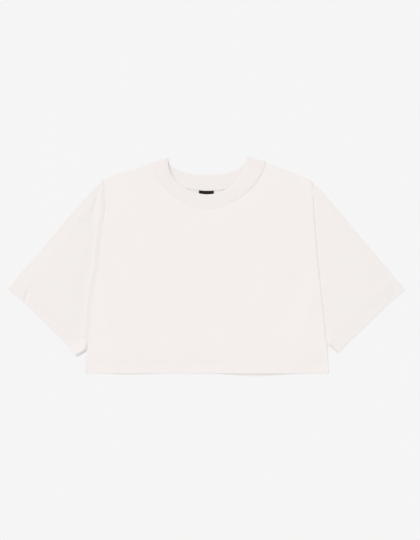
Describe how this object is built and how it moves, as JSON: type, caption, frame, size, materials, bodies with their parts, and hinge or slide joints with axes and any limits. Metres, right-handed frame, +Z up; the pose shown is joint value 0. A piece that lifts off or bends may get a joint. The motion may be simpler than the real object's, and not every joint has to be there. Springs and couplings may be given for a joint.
{
  "type": "crop top",
  "caption": "Boxy cropped short-sleeve T-shirt with dropped shoulders and a wide ribbed crew neck, laid flat on its back.",
  "frame": {"origin": "centre of the bounding box on the surface that the garment lies on", "axes": "+X towards the wearer's left sleeve, +Y towards the neck, +Z up off the surface, out of the front"},
  "size_m": [0.8159, 0.447, 0.0062],
  "materials": {
    "jersey": "matt off-white cotton jersey",
    "rib_knit": "matt off-white cotton rib, folded double",
    "label_tape": "black woven satin tape, bare"
  },
  "bodies": {
    "root": {"front_panel": "jersey", "back_panel": "jersey", "sleeve_left": "jersey", "sleeve_right": "jersey", "neck_rib": "rib_knit", "neck_label": "label_tape"}
  },
  "joints": []
}
